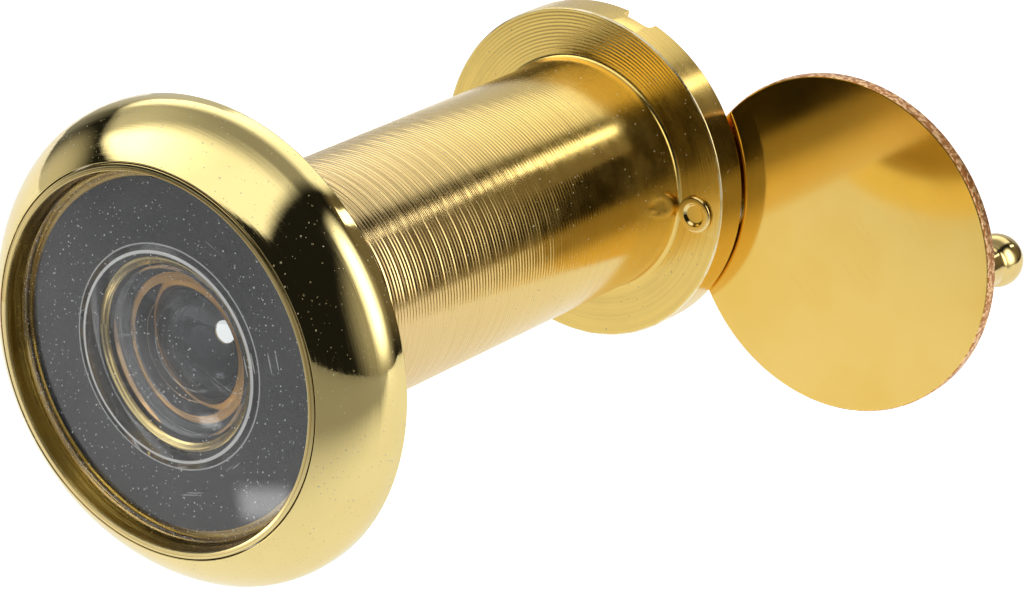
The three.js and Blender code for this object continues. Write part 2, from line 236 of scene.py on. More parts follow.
def dish(radius, y, depth, steps):
    """Half section of a sphere, from its mouth to the axis, sunk towards -Y by depth."""
    sphere = (radius * radius + depth * depth) / (2 * abs(depth))
    reach = math.asin(radius / sphere)
    points = []
    for k in range(steps + 1):
        angle = reach * (1 - k / steps)
        fall = sphere * math.cos(angle) - sphere + abs(depth)
        r = 0 if k == steps else sphere * math.sin(angle)
        points.append(Vector((r, y - math.copysign(fall, depth))))
    return points


def line(start, end, step):
    """Evenly spaced points from start to end, both included."""
    a, b = Vector(start), Vector(end)
    count = max(1, round((b - a).length / step))
    return [a.lerp(b, k / count) for k in range(count + 1)]


def turned(name, outline, segments=ROUND, radius_at=None, axis_x=0):
    """Mesh object turned about the Y axis through axis_x, from a closed outline."""
    points = [Vector(p) for p in outline]
    points = [p for i, p in enumerate(points) if (p - points[i - 1]).length > SAME_POINT]
    bm = bmesh.new()
    rows = []
    for p in points:
        if p.x < SAME_POINT:
            rows.append([bm.verts.new((0, p.y * MM, 0))] * segments)
            continue
        row = []
        for s in range(segments):
            angle = 2 * math.pi * s / segments
            r = radius_at(p.x, p.y, angle) if radius_at else p.x
            x, z = r * math.cos(angle), r * math.sin(angle)
            row.append(bm.verts.new((x * MM, p.y * MM, z * MM)))
        rows.append(row)
    for i, row in enumerate(rows):
        below = rows[i - 1]
        for s in range(segments):
            t = (s + 1) % segments
            corners = [below[s], below[t], row[t], row[s]]
            unique = list(dict.fromkeys(corners))
            if len(unique) > 2:
                bm.faces.new(unique)
    return finished(name, bm, axis_x)


def finished(name, bm, axis_x=0):
    """Smooth-shaded object from a bmesh, its origin on its own axis."""
    bmesh.ops.recalc_face_normals(bm, faces=bm.faces)
    mesh = bpy.data.meshes.new(name)
    bm.to_mesh(mesh)
    bm.free()
    piece = bpy.data.objects.new(name, mesh)
    bpy.context.scene.collection.objects.link(piece)
    piece.location.x = axis_x * MM
    crisp(piece)
    return piece


def crisp(piece):
    """Shades smooth except over sharp edges, with normals weighted to the large faces."""
    mesh = piece.data
    bm = bmesh.new()
    bm.from_mesh(mesh)
    for face in bm.faces:
        face.smooth = True
    for edge in bm.edges:
        edge.smooth = len(edge.link_faces) == 2 and edge.calc_face_angle(0) < CREASE
    bm.to_mesh(mesh)
    bm.free()
    if "weighted" not in piece.modifiers:
        weighted = piece.modifiers.new("weighted", "WEIGHTED_NORMAL")
        weighted.keep_sharp = True


def cut(piece, tools):
    """Cuts the tool objects out of the piece and removes them."""
    for tool in tools:
        boolean = piece.modifiers.new("cut", "BOOLEAN")
        boolean.operation = "DIFFERENCE"
        boolean.solver = "EXACT"
        boolean.object = tool
        piece.modifiers.move(len(piece.modifiers) - 1, 0)
        piece.modifiers["weighted"].show_viewport = False
        bpy.context.view_layer.update()
        piece_now = piece.evaluated_get(bpy.context.evaluated_depsgraph_get())
        mesh = bpy.data.meshes.new_from_object(piece_now)
        piece.modifiers.remove(boolean)
        piece.data = mesh
        piece.modifiers["weighted"].show_viewport = True
        bpy.data.objects.remove(tool)
    bm = bmesh.new()
    bm.from_mesh(piece.data)
    bmesh.ops.remove_doubles(bm, verts=bm.verts, dist=MERGE)
    bmesh.ops.dissolve_degenerate(bm, edges=bm.edges, dist=MERGE)
    bm.to_mesh(piece.data)
    bm.free()
    crisp(piece)


def bar(length, width, y0, y1, angle, floor_round):
    """Cutting bar across the common axis, its front corners rounded."""
    half = width / 2
    section = rounded(
        [(-half, y0, floor_round), (half, y0, floor_round), (half, y1, 0), (-half, y1, 0)]
    )
    bm = bmesh.new()
    ends = []
    for x in (-length / 2, length / 2):
        ends.append([bm.verts.new((x * MM, p.y * MM, p.x * MM)) for p in section])
    for i in range(len(section)):
        j = (i + 1) % len(section)
        bm.faces.new((ends[0][i], ends[0][j], ends[1][j], ends[1][i]))
    for end in ends:
        bm.faces.new(end)
    bm.transform(Matrix.Rotation(-angle, 4, "Y"))
    return finished("bar", bm)


def drill(radius, y0, y1, axis_x):
    """Cutting cylinder along Y."""
    outline = [(0, y0), (radius, y0), (radius, y1), (0, y1)]
    return turned("drill", outline, SMALL_ROUND, None, axis_x)


# ---------- node helpers ----------
class Shader:
    """A material with a Principled shader and short calls for the nodes around it."""

    def __init__(self, name, **constants):
        self.material = bpy.data.materials.new(name)
        self.material.use_nodes = True
        self.tree = self.material.node_tree
        self.tree.nodes.clear()
        self.out = self.add("ShaderNodeOutputMaterial")
        self.bsdf = self.add("ShaderNodeBsdfPrincipled")
        self.link(self.bsdf.outputs[0], self.out.inputs["Surface"])
        for key, value in constants.items():
            self.set(key.replace("_", " "), value)
        self.place = self.add("ShaderNodeTexCoord").outputs["Object"]

    def add(self, kind):
        return self.tree.nodes.new(kind)

    def link(self, source, target):
        self.tree.links.new(source, target)

    def feed(self, socket, value):
        """Links an output, or sets a number, vector or colour."""
        if isinstance(value, bpy.types.NodeSocket):
            self.link(value, socket)
        elif socket.type == "RGBA" and len(value) == 3:
            socket.default_value = (*value, 1)
        else:
            socket.default_value = value

    def set(self, name, value):
        self.feed(self.bsdf.inputs[name], value)

    def math(self, operation, *values, clamp=False):
        node = self.add("ShaderNodeMath")
        node.operation = operation
        node.use_clamp = clamp
        for socket, value in zip(node.inputs, values):
            self.feed(socket, value)
        return node.outputs[0]

    def times(self, a, b):
        return self.math("MULTIPLY", a, b)

    def plus(self, a, b):
        return self.math("ADD", a, b)

    def minus(self, a, b):
        """a - b."""
        return self.math("SUBTRACT", a, b)

    def larger(self, a, b):
        return self.math("MAXIMUM", a, b)

    def split(self, vector):
        node = self.add("ShaderNodeSeparateXYZ")
        self.feed(node.inputs[0], vector)
        return node.outputs

    def join(self, x, y, z):
        node = self.add("ShaderNodeCombineXYZ")
        for socket, value in zip(node.inputs, (x, y, z)):
            self.feed(socket, value)
        return node.outputs[0]

    def spin(self):
        """Radius in millimetres, angle in turns and place along the axis in millimetres."""
        x, y, z = self.split(self.place)
        radius = self.math("SQRT", self.plus(self.times(x, x), self.times(z, z)))
        turns = self.times(self.math("ARCTAN2", z, x), 0.5 / math.pi)
        return self.times(radius, 1 / MM), turns, self.times(y, 1 / MM)

    def noise(self, vector, scale=1.0, detail=2.0, roughness=0.5):
        node = self.add("ShaderNodeTexNoise")
        self.feed(node.inputs["Vector"], vector)
        self.feed(node.inputs["Scale"], scale)
        self.feed(node.inputs["Detail"], detail)
        self.feed(node.inputs["Roughness"], roughness)
        return node.outputs[0]

    def cells(self, vector, scale, flat=False):
        """Distance to the nearest random point, and that point's random colour."""
        node = self.add("ShaderNodeTexVoronoi")
        node.voronoi_dimensions = "2D" if flat else "3D"
        self.feed(node.inputs["Vector"], vector)
        self.feed(node.inputs["Scale"], scale)
        return node.outputs["Distance"], node.outputs["Color"]

    def ramp(self, value, low, high, out_low=0.0, out_high=1.0):
        """Smooth step from out_low at low to out_high at high."""
        node = self.add("ShaderNodeMapRange")
        node.interpolation_type = "SMOOTHSTEP"
        keys = ("Value", "From Min", "From Max", "To Min", "To Max")
        for key, number in zip(keys, (value, low, high, out_low, out_high)):
            self.feed(node.inputs[key], number)
        return node.outputs["Result"]

    def band(self, value, rise, top, end, fall):
        """1 between top and end, falling to 0 at rise and at fall."""
        return self.times(self.ramp(value, rise, top), self.ramp(value, end, fall, 1, 0))

    def mix(self, factor, a, b):
        node = self.add("ShaderNodeMix")
        node.data_type = "RGBA"
        self.feed(node.inputs["Factor"], factor)
        colours = [s for s in node.inputs if s.type == "RGBA"]
        self.feed(colours[0], a)
        self.feed(colours[1], b)
        return [s for s in node.outputs if s.type == "RGBA"][0]

    def bump(self, height, distance_mm, strength=1.0, normal=None):
        node = self.add("ShaderNodeBump")
        self.feed(node.inputs["Strength"], strength)
        self.feed(node.inputs["Distance"], distance_mm * MM)
        self.feed(node.inputs["Height"], height)
        if normal is not None:
            self.feed(node.inputs["Normal"], normal)
        return node.outputs[0]

    def scaled(self, vector, factors, turn=0.0):
        """Vector turned about Y and then multiplied by the factors."""
        node = self.add("ShaderNodeMapping")
        node.vector_type = "TEXTURE"
        self.feed(node.inputs["Vector"], vector)
        self.feed(node.inputs["Rotation"], (0, turn, 0))
        self.feed(node.inputs["Scale"], [1 / factor for factor in factors])
        return node.outputs[0]

    def specks(self, scale, size, share):
        """1 on a few small round spots: scale per metre, size as a share of a cell."""
        distance, colour = self.cells(self.place, scale)
        pick, radius, _ = self.split(colour)
        chosen = self.math("LESS_THAN", pick, share)
        reach = self.times(radius, size)
        inside = self.math("LESS_THAN", distance, reach)
        return self.times(chosen, inside)

    def scratches(self, turn, long_scale, cross_scale, width, share):
        """1 on thin straight scratches that run at one angle in the XZ plane."""
        along, _, across = self.split(self.scaled(self.place, (long_scale, 1.0, cross_scale), turn))
        distance, colour = self.cells(self.join(along, across, 0.0), 1.0, flat=True)
        pick, _, _ = self.split(colour)
        chosen = self.math("LESS_THAN", pick, share)
        return self.times(chosen, self.math("LESS_THAN", distance, width))


# ---------- materials ----------
# Scales on a material's own place are per metre, and bump depths are in millimetres.
def head_brass():
    """Mirror-polished dome: faint turning streaks, fine pits and patches of dust."""
    s = Shader("head_brass", Metallic=1.0)
    radius, angle, y = s.spin()
    cloud = s.noise(s.place, 260, 3)
    fine = s.noise(s.place, 2600, 2)
    round_axis = s.join(s.times(angle, 30), s.times(y, 9), s.times(radius, 9))
    streak = s.noise(round_axis, 1.0, 3)
    dust = s.larger(s.specks(2500, 0.14, 0.5), s.specks(5200, 0.24, 0.5))
    patchy = s.ramp(s.noise(s.place, 420, 3, 0.6), 0.45, 0.62)
    dust = s.times(dust, s.plus(s.times(patchy, 0.8), 0.2))
    brass = s.mix(s.ramp(cloud, 0.35, 0.7, 0, 0.35), *HEAD_GOLD)
    s.set("Base Color", s.mix(dust, brass, HEAD_DUST))
    s.set("Metallic", s.minus(1.0, s.times(dust, 0.5)))
    s.set("Roughness", s.plus(s.ramp(streak, 0.3, 0.75, 0.035, 0.10), s.times(dust, 0.4)))
    wave = s.bump(cloud, 0.02, 0.35)
    grain = s.bump(streak, 0.006, 0.35, wave)
    pit = s.bump(fine, 0.003, 0.35, grain)
    s.set("Normal", s.bump(dust, 0.01, 0.8, pit))
    return s.material


def lip_brass():
    """Burnished lip, the turned wall and seat in a dark brown that is painted shade of the recess,
    the bore's mouth and its blackened inside.
    """
    s = Shader("lip_brass", Metallic=1.0)
    radius, angle, y = s.spin()
    rings = s.noise(s.join(s.times(angle, 5), s.times(y, 9), s.times(radius, 9)), 1.0, 3)
    inside = s.ramp(y, -LIP_HEIGHT + 0.02, -LIP_HEIGHT + 0.2)
    lip = s.mix(s.ramp(rings, 0.4, 0.65), *LIP_GOLD)
    # Painted shade: the wall and seat inside the lip get the dark brown of the shaded recess.
    wall = s.mix(s.ramp(rings, 0.42, 0.6), *SHADED_WALL_BROWN)
    mouth = s.mix(s.ramp(rings, 0.42, 0.6), *MOUTH_GOLD)
    bore = s.ramp(radius, STACK_BORE_RADIUS + 0.02, STACK_BORE_RADIUS + 0.06, 1, 0)
    mouth = s.mix(bore, mouth, BLACKENED)
    seat = s.mix(s.ramp(radius, 6.5, 7.5, 1, 0), wall, mouth)
    s.set("Base Color", s.mix(inside, lip, seat))
    s.set("Roughness", s.plus(s.ramp(rings, 0.3, 0.7, 0.12, 0.26), s.times(bore, 0.4)))
    s.set("Normal", s.bump(rings, 0.016, 0.6))
    return s.material


def sleeve_brass():
    """Turned brass: feed marks round the sleeve and the flange's face, worn bright edges."""
    s = Shader("sleeve_brass", Metallic=1.0)
    radius, angle, y = s.spin()
    feed = s.noise(s.join(s.times(angle, 3), s.times(y, 11), s.times(radius, 5)), 1.0, 3, 0.6)
    faint = s.noise(s.join(s.times(angle, 26), s.times(y, 0.7), radius), 1.0, 2)
    grit = s.noise(s.place, 5200, 2)
    dust = s.larger(s.specks(2200, 0.13, 0.2), s.specks(4600, 0.2, 0.2))
    edge = s.ramp(radius, FLANGE_RADIUS - 0.16, FLANGE_RADIUS - 0.05)
    corner = s.times(edge, s.ramp(y, FLANGE_FRONT + 0.06, FLANGE_FRONT + 0.16, 1, 0))
    worn = s.times(corner, s.ramp(s.noise(s.place, 900, 2), 0.35, 0.6, 0.3, 1.0))
    base = s.mix(s.ramp(y, 4, 30), *SLEEVE_GOLD)
    colour = s.mix(s.ramp(feed, 0.35, 0.7, 0, 0.3), base, FEED_BROWN)
    colour = s.mix(s.times(dust, 0.7), colour, SLEEVE_DUST)
    s.set("Base Color", s.mix(worn, colour, WORN_EDGE))
    s.set("Metallic", s.minus(1.0, s.times(dust, 0.4)))
    satin = s.ramp(s.plus(faint, s.times(grit, 0.4)), 0.5, 0.9, 0.13, 0.2)
    satin = s.plus(satin, s.ramp(y, 25, 32, 0.0, 0.05))
    s.set("Roughness", s.plus(s.plus(satin, s.times(dust, 0.3)), s.times(worn, 0.2)))
    turning = s.bump(feed, 0.008, s.ramp(y, 5, 31, 0.8, 0.25))
    rings = s.bump(lathe_marks(s, radius, y, feed), 0.0035, 1.0, turning)
    rough = s.bump(grit, 0.0015, 0.4, rings)
    s.set("Normal", s.bump(dust, 0.02, 0.8, rough))
    return s.material


def lathe_marks(s, radius, y, feed):
    """Rings on the flange's front face, strongest on its upper half."""
    phase = s.plus(s.times(radius, 2 * math.pi / LATHE_PITCH), s.times(feed, 1.5))
    on_front = s.ramp(y, FLANGE_FRONT + 0.05, FLANGE_FRONT + 0.1, 1, 0)
    face = s.times(s.ramp(radius, SLEEVE_RADIUS + 0.3, SLEEVE_RADIUS + 0.6), on_front)
    upper = s.ramp(s.split(s.place)[2], 0.0, 0.006, 0.15, 1.0)
    return s.times(s.math("SINE", phase), s.times(face, upper))


def cover_brass():
    """Polished face with faint scoring, and the raw coppery edge of the blanked disc."""
    s = Shader("cover_brass", Metallic=1.0)
    radius, _, _ = s.spin()
    cloud = s.noise(s.place, 110, 3)
    grit = s.noise(s.place, 3800, 3, 0.7)
    rim = s.ramp(radius, COVER_RADIUS - 0.09, COVER_RADIUS - 0.03)
    scratch = s.scratches(0.7, 60, 3000, 0.05, 0.15)
    face = s.mix(s.ramp(cloud, 0.35, 0.7), *COVER_GOLD)
    edge = s.mix(s.ramp(grit, 0.47, 0.57), *RAW_COPPER)
    s.set("Base Color", s.mix(rim, face, edge))
    s.set("Roughness", s.plus(s.ramp(cloud, 0.3, 0.7, 0.07, 0.12), s.times(rim, 0.22)))
    wavy = s.bump(cloud, 0.02, 0.2)
    scored = s.bump(scratch, 0.004, 0.4, wavy)
    s.set("Normal", s.bump(grit, 0.08, rim, scored))
    return s.material


def rivet_brass():
    """Burnished brass of the rivet, the knob and the retaining ring."""
    s = Shader("rivet_brass", Metallic=1.0)
    cloud = s.noise(s.place, 900, 3)
    s.set("Base Color", s.mix(cloud, *RIVET_GOLD))
    s.set("Roughness", s.ramp(cloud, 0.3, 0.7, 0.09, 0.2))
    s.set("Normal", s.bump(cloud, 0.01, 0.4))
    return s.material


def spacer_brass():
    """Orange-brown lacquered ring with fine turning marks."""
    s = Shader("spacer_brass", Metallic=1.0)
    radius, angle, y = s.spin()
    rings = s.noise(s.join(angle, s.times(y, 12), s.times(radius, 12)), 1.0, 3)
    s.set("Base Color", s.mix(rings, *SPACER_ORANGE))
    s.set("Roughness", s.ramp(rings, 0.3, 0.7, 0.2, 0.4))
    s.set("Normal", s.bump(rings, 0.01, 0.5))
    return s.material


def spring_steel():
    s = Shader("spring_steel", Metallic=1.0)
    grain = s.noise(s.place, 1800, 3)
    s.set("Base Color", s.mix(grain, *STEEL_GREY))
    s.set("Roughness", s.ramp(grain, 0.3, 0.7, 0.2, 0.4))
    s.set("Normal", s.bump(grain, 0.008, 0.4))
    return s.material


def black_paint():
    s = Shader("black_paint", Metallic=0.0)
    grain = s.noise(s.place, 3000, 3)
    s.set("Base Color", s.mix(grain, *PAINT_BLACK))
    s.set("Roughness", s.ramp(grain, 0.3, 0.7, 0.55, 0.8))
    s.set("Normal", s.bump(grain, 0.02, 0.5))
    return s.material


def clear_glass(name):
    """Bloomed inner lens: clear, with weak reflections and a few specks."""
    s = Shader(name, Metallic=0.0, IOR=GLASS_INDEX, Specular_Tint=GLASS_BLOOM)
    mark = s.specks(1500, 0.14, 0.12)
    s.set("Base Color", s.mix(mark, GLASS_CLEAR, GLASS_SPECK))
    s.set("Roughness", s.ramp(s.noise(s.place, 1500, 2), 0.3, 0.7, 0.0, 0.015))
    s.set("Transmission Weight", s.minus(1.0, s.times(mark, 0.3)))
    return s.material


SCRATCH_WIDTH = 0.035  # share of a cell
SCRATCHES = (  # direction, cells across and along the scratch per metre, share of cells
    (0.35, 900, 40, 0.16),
    (0.8, 900, 90, 0.2),
    (1.25, 900, 60, 0.16),
    (2.3, 1000, 90, 0.2),
    (2.8, 900, 50, 0.16),
)


def ground_edges(s, radius, y):
    """Frosted ring round the dish and a fainter one round its bevel, on the rear face."""
    dish_edge = OBJECTIVE_DISH_RADIUS
    bevel = dish_edge + OBJECTIVE_BEVEL
    frosted = s.band(radius, dish_edge - 0.13, dish_edge - 0.07, dish_edge + 0.05, dish_edge + 0.1)
    faint = s.band(radius, bevel - 0.05, bevel, bevel + 0.04, bevel + 0.08)
    on_rear = s.ramp(y, -OBJECTIVE_EDGE - 0.03, -OBJECTIVE_EDGE + 0.07)
    return s.times(on_rear, s.plus(s.times(frosted, 1.3), s.times(faint, 0.8)))


def worn_glass(name):
    """Outermost lens: dust, hairline scratches, faint haze and a frosted edge round the dish."""
    s = Shader(name, Metallic=0.0, IOR=GLASS_INDEX)
    radius, _, y = s.spin()
    haze = s.noise(s.place, 240, 3)
    mark = s.larger(s.specks(2300, 0.13, 0.4), s.specks(4600, 0.22, 0.3))
    for turn, across, along, share in SCRATCHES:
        hair = s.scratches(turn, along, across, SCRATCH_WIDTH, share)
        mark = s.larger(mark, s.times(hair, s.ramp(haze, 0.4, 0.7, 0.1, 0.8)))
    mark = s.larger(mark, ground_edges(s, radius, y))
    worn = s.plus(s.times(mark, 0.75), s.ramp(haze, 0.4, 0.8, 0.005, 0.03))
    s.set("Base Color", s.mix(mark, GLASS_CLEAR, GLASS_WORN))
    s.set("Roughness", s.ramp(haze, 0.3, 0.7, 0.0, 0.02))
    s.set("Transmission Weight", s.math("SUBTRACT", 1.0, worn, clamp=True))
    return s.material


# ---------- relief functions ----------
def smooth(t):
    """Smooth step from 0 at 0 to 1 at 1."""
    t = max(0.0, min(1.0, t))
    return t * t * (3 - 2 * t)


def grooved(radius, y, angle):
    """Radius of the sleeve with its helical turning grooves, which fade towards the flange."""
    if radius < SLEEVE_RADIUS - 0.01 or not SLEEVE_FRONT + 0.2 < y < FLANGE_FRONT - 0.5:
        return radius
    phase = y / GROOVE_PITCH - angle / (2 * math.pi)
    number = math.floor(phase)
    change = math.sin(number * 2.4) * math.sin(number * 0.71 + 1)
    uneven = 1 - GROOVE_UNEVEN + GROOVE_UNEVEN * change
    fade = 1.0
    for start, length, lost in GROOVE_FADES:
        fade *= 1 - lost * smooth((y - start) / length)
    scallop = math.sin(math.pi * (phase - number)) ** 2
    return radius - GROOVE_DEPTH * uneven * fade * scallop


def threaded(radius, y, angle):
    """Radius of the helical male thread, with flats at crest and root and both ends run out."""
    if radius < MALE_THREAD_RADIUS - 0.01 or y < 0.05:
        return radius
    phase = (y / MALE_THREAD_PITCH - angle / (2 * math.pi)) % 1.0
    flank = abs(phase - 0.5) * 2
    depth = max(0.0, min(1.0, (flank - CREST_FLAT) / FLANK_SHARE))
    ends = smooth((y - RUN_IN[0]) / RUN_IN[1]) * (1 - smooth((y - MALE_LENGTH + RUN_OUT) / RUN_OUT))
    return radius - MALE_THREAD_DEPTH * depth * ends


# ---------- outer half ----------
def make_bezel():
    """Domed ring: straight rim, rounded shoulder and the dome down to the lip."""
    bore = CUP_RADIUS + CLEARANCE
    front = -LIP_HEIGHT + LIP_FALL
    shoulder_end = (HEAD_RADIUS - SHOULDER_INSET, -RIM_HEIGHT - SHOULDER_RISE)
    dome = arc(shoulder_end, (bore + 0.03, front), DOME_BULGE, DOME_STEPS)
    corner = (HEAD_RADIUS, -RIM_HEIGHT - 0.09, SHOULDER_FILLET)
    join = (*dome[SHOULDER_JOIN], 0)
    shoulder = rounded([(HEAD_RADIUS, -0.3, 0), corner, join], SHOULDER_STEPS)[1:-1]
    foot = rounded(
        [(bore, -0.2, 0), (bore, 0, 0.1), (HEAD_RADIUS, 0, 0.14), (HEAD_RADIUS, -0.3, 0)]
    )[1:-1]
    edge = rounded([(*dome[-2], 0), (*dome[-1], 0.03), (bore, front + 0.1, 0)])[1:-1]
    outline = [
        *foot,
        *line((HEAD_RADIUS, -0.2), (HEAD_RADIUS, -0.5), 0.2),
        *shoulder,
        *dome[SHOULDER_JOIN + 1:-1],
        *edge,
        *line((bore, front + 0.15), (bore, -0.3), 0.5),
    ]
    return turned("bezel", outline)


def make_barrel():
    """Cup with its lip and seats, and the male-threaded tube behind it."""
    lip_inner = CUP_RADIUS - LIP_WIDTH
    corners = [
        (MALE_BORE_RADIUS, MALE_LENGTH, 0.05),
        (MALE_BORE_RADIUS, STACK_STOP_REAR, 0.05),
        (STACK_STOP_RADIUS, STACK_STOP_REAR, 0.1),
        (STACK_STOP_RADIUS, STACK_STOP, 0.1),
        (STACK_BORE_RADIUS, STACK_STOP, 0.04),
        (STACK_BORE_RADIUS, -CUP_FLOOR + STACK_MOUTH, 0.08),
        (STACK_BORE_RADIUS + STACK_MOUTH, -CUP_FLOOR, 0.05),
        (LENS_SEAT_RADIUS, -CUP_FLOOR, 0.05),
        (LENS_SEAT_RADIUS, -OBJECTIVE_EDGE, 0.03),
        (lip_inner, -LIP_HEIGHT, 0.035),
        (CUP_RADIUS, -LIP_HEIGHT + LIP_FALL, 0.04),
        (CUP_RADIUS, 0, 0.05),
        (MALE_THREAD_RADIUS, 0, 0.05),
    ]
    start = rounded(corners, 4)
    thread_end = (MALE_THREAD_RADIUS, MALE_LENGTH - THREAD_LEAD)
    thread = line((MALE_THREAD_RADIUS, 0.1), thread_end, THREAD_STEP)
    end = [
        (MALE_THREAD_RADIUS - 0.2, MALE_LENGTH - 0.18),
        (MALE_THREAD_RADIUS - 0.42, MALE_LENGTH),
    ]
    return turned("barrel", start + thread + end, RELIEF_ROUND, threaded)


def make_objective():
    """Large lens with a slightly domed front and a bevelled dish in its rear face."""
    radius = LENS_SEAT_RADIUS - LOOSE
    rear = -CUP_FLOOR - MASK_THICKNESS - 2 * CLEARANCE
    mouth = rear - LENS_CHAMFER
    bevel = OBJECTIVE_DISH_RADIUS + OBJECTIVE_BEVEL
    hollow = dish(OBJECTIVE_DISH_RADIUS, mouth, OBJECTIVE_DISH_DEPTH, DISH_STEPS)
    edge = [
        (radius - 0.2, -OBJECTIVE_EDGE - 0.02, 0),
        (radius, -OBJECTIVE_EDGE, 0.04),
        (radius, rear, 0.06),
        (bevel, rear, 0.06),
        (OBJECTIVE_DISH_RADIUS, mouth, 0.02),
        (*hollow[1], 0),
    ]
    crown = dish(radius, -OBJECTIVE_EDGE, OBJECTIVE_CROWN, FRONT_STEPS)
    return turned("objective", [*reversed(crown[1:]), *rounded(edge)[1:-1], *hollow[1:]])


def make_mask():
    rear = -CUP_FLOOR - CLEARANCE
    front = rear - MASK_THICKNESS
    corners = [
        (MASK_INNER_RADIUS, front, 0.02),
        (MASK_RADIUS, front, 0.02),
        (MASK_RADIUS, rear, 0.02),
        (MASK_INNER_RADIUS, rear, 0.02),
    ]
    return turned("mask", rounded(corners, 3))


def make_stack_lens(name, front, rear, dish_radius, dish_depth):
    """Flat-fronted lens of the stack, hollowed from behind."""
    hollow = dish(dish_radius, rear, dish_depth, DISH_STEPS)
    edge = [
        (STACK_RADIUS - 1, front, 0),
        (STACK_RADIUS - LENS_CHAMFER, front, 0.04),
        (STACK_RADIUS, front + LENS_CHAMFER, 0.04),
        (STACK_RADIUS, rear, 0.06),
        (dish_radius, rear, 0.03),
        (*hollow[1], 0),
    ]
    flat_front = line((0, front), (STACK_RADIUS - 0.5, front), 0.5)
    return turned(name, [*flat_front, *rounded(edge)[1:-1], *hollow[1:]])


def make_ring(name, outer, inner, front, rear, fillet):
    corners = [(inner, front), (outer, front), (outer, rear), (inner, rear)]
    return turned(name, rounded([(*corner, fillet) for corner in corners], 4))


def make_stack_ring():
    front = SECOND_REAR + CLEARANCE
    rear = front + BLACK_RING_THICKNESS
    return make_ring("stack_ring", STACK_RADIUS, BLACK_RING_INNER_RADIUS, front, rear, 0.03)


def make_spacer():
    rear = THIRD_FRONT - CLEARANCE
    front = rear - SPACER_THICKNESS
    return make_ring("spacer", STACK_RADIUS, SPACER_INNER_RADIUS, front, rear, 0.09)


def make_second_lens():
    return make_stack_lens(
        "second_lens", SECOND_FRONT, SECOND_REAR, SECOND_DISH_RADIUS, SECOND_DISH_DEPTH
    )


def make_third_lens():
    rear = STACK_STOP - CLEARANCE
    return make_stack_lens("third_lens", THIRD_FRONT, rear, THIRD_DISH_RADIUS, THIRD_DISH_DEPTH)


def make_baffle():
    """Black lining of the male tube, ribbed inside."""
    front, rear = STACK_STOP_REAR + CLEARANCE, MALE_LENGTH - BAFFLE_INSET
    outer = MALE_BORE_RADIUS - LOOSE
    inner = outer - BAFFLE_WALL
    corners = [(outer, front, 0.04), (outer, rear, 0.04), (inner, rear, 0.1)]
    inside = line((inner, rear - 0.3), (inner, front + 0.3), 0.1)
    mouth = [(inner + 0.03, front + 0.04), (inner + 0.08, front)]

    def ribbed(radius, y, angle):
        """Radius of the lining's inner wall with its ribs."""
        on_wall = radius < inner + 0.01
        return radius + RIB_DEPTH * abs(math.sin(math.pi * y / RIB_PITCH)) * on_wall

    outline = [*rounded(corners, 3), *inside, *mouth]
    return turned("baffle", outline, LINING_ROUND, ribbed)


# ---------- eyepiece ----------
def make_eyepiece():
    """Lens with a domed front and a flat rear."""
    rear = EYEPIECE_SEAT - CLEARANCE
    edge = rear - EYEPIECE_EDGE
    shoulder = EYEPIECE_RADIUS - CLEARANCE
    corners = [
        (shoulder, edge, 0),
        (EYEPIECE_RADIUS, edge + 0.1, 0.04),
        (EYEPIECE_RADIUS, rear, 0.1),
        (shoulder - 0.3, rear, 0),
    ]
    outline = [
        *reversed(dish(shoulder, edge, EYEPIECE_CROWN, DISH_STEPS)),
        *rounded(corners)[1:-1],
        *line((shoulder - 0.3, rear), (0, rear), 0.6),
    ]
    return turned("eyepiece", outline)


def make_retaining_ring():
    rear = EYEPIECE_SEAT - EYEPIECE_EDGE - RETAINER_GAP
    front = rear - RETAINER_THICKNESS
    ring = make_ring("retaining_ring", MALE_THREAD_RADIUS, RETAINER_INNER_RADIUS, front, rear, 0.1)
    slot_floor = front + SPANNER_SLOT_DEPTH
    length = 3 * MALE_THREAD_RADIUS
    cut(ring, [bar(length, SPANNER_SLOT_WIDTH, front - OVERRUN, slot_floor, 0, 0)])
    return ring


# ---------- inner half ----------
def make_sleeve():
    """Sleeve with its flange, eye hole, rivet hole and coin slot, grooved outside."""
    bore = MALE_THREAD_RADIUS + RUNNING
    corners = [
        (SLEEVE_RADIUS, FLANGE_FRONT - 0.5, 0),
        (SLEEVE_RADIUS, FLANGE_FRONT, 0.28),
        (FLANGE_RADIUS, FLANGE_FRONT, 0.12),
        (FLANGE_RADIUS, FLANGE_REAR, 0.14),
        (EYE_HOLE_RADIUS + EYE_HOLE_CHAMFER, FLANGE_REAR, 0.1),
        (EYE_HOLE_RADIUS, FLANGE_REAR - EYE_HOLE_CHAMFER, 0.1),
        (EYE_HOLE_RADIUS, EYEPIECE_SEAT, 0.04),
        (bore, EYEPIECE_SEAT, 0.05),
        (bore, SLEEVE_FRONT, 0.12),
        (SLEEVE_RADIUS, SLEEVE_FRONT, 0.16),
        (SLEEVE_RADIUS, SLEEVE_FRONT + 0.5, 0),
    ]
    step = GROOVE_PITCH / GROOVE_STEPS
    outline = [
        *rounded(corners)[1:-1],
        *line((SLEEVE_RADIUS, SLEEVE_FRONT + 0.2), (SLEEVE_RADIUS, GROOVE_END), step),
        *line((SLEEVE_RADIUS, GROOVE_END), (SLEEVE_RADIUS, FLANGE_FRONT - 0.5), 0.5)[1:],
    ]
    sleeve = turned("sleeve", outline, RELIEF_ROUND, grooved)
    front, rear = FLANGE_FRONT - OVERRUN, FLANGE_REAR + OVERRUN
    rivet_hole = drill(RIVET_RADIUS + CLEARANCE, front, rear, PIVOT_OFFSET)
    slot_floor = FLANGE_REAR - SLOT_DEPTH
    coin_slot = bar(3 * FLANGE_RADIUS, SLOT_WIDTH, slot_floor, rear, SLOT_ANGLE, 0.35)
    cut(sleeve, [rivet_hole, coin_slot])
    return sleeve


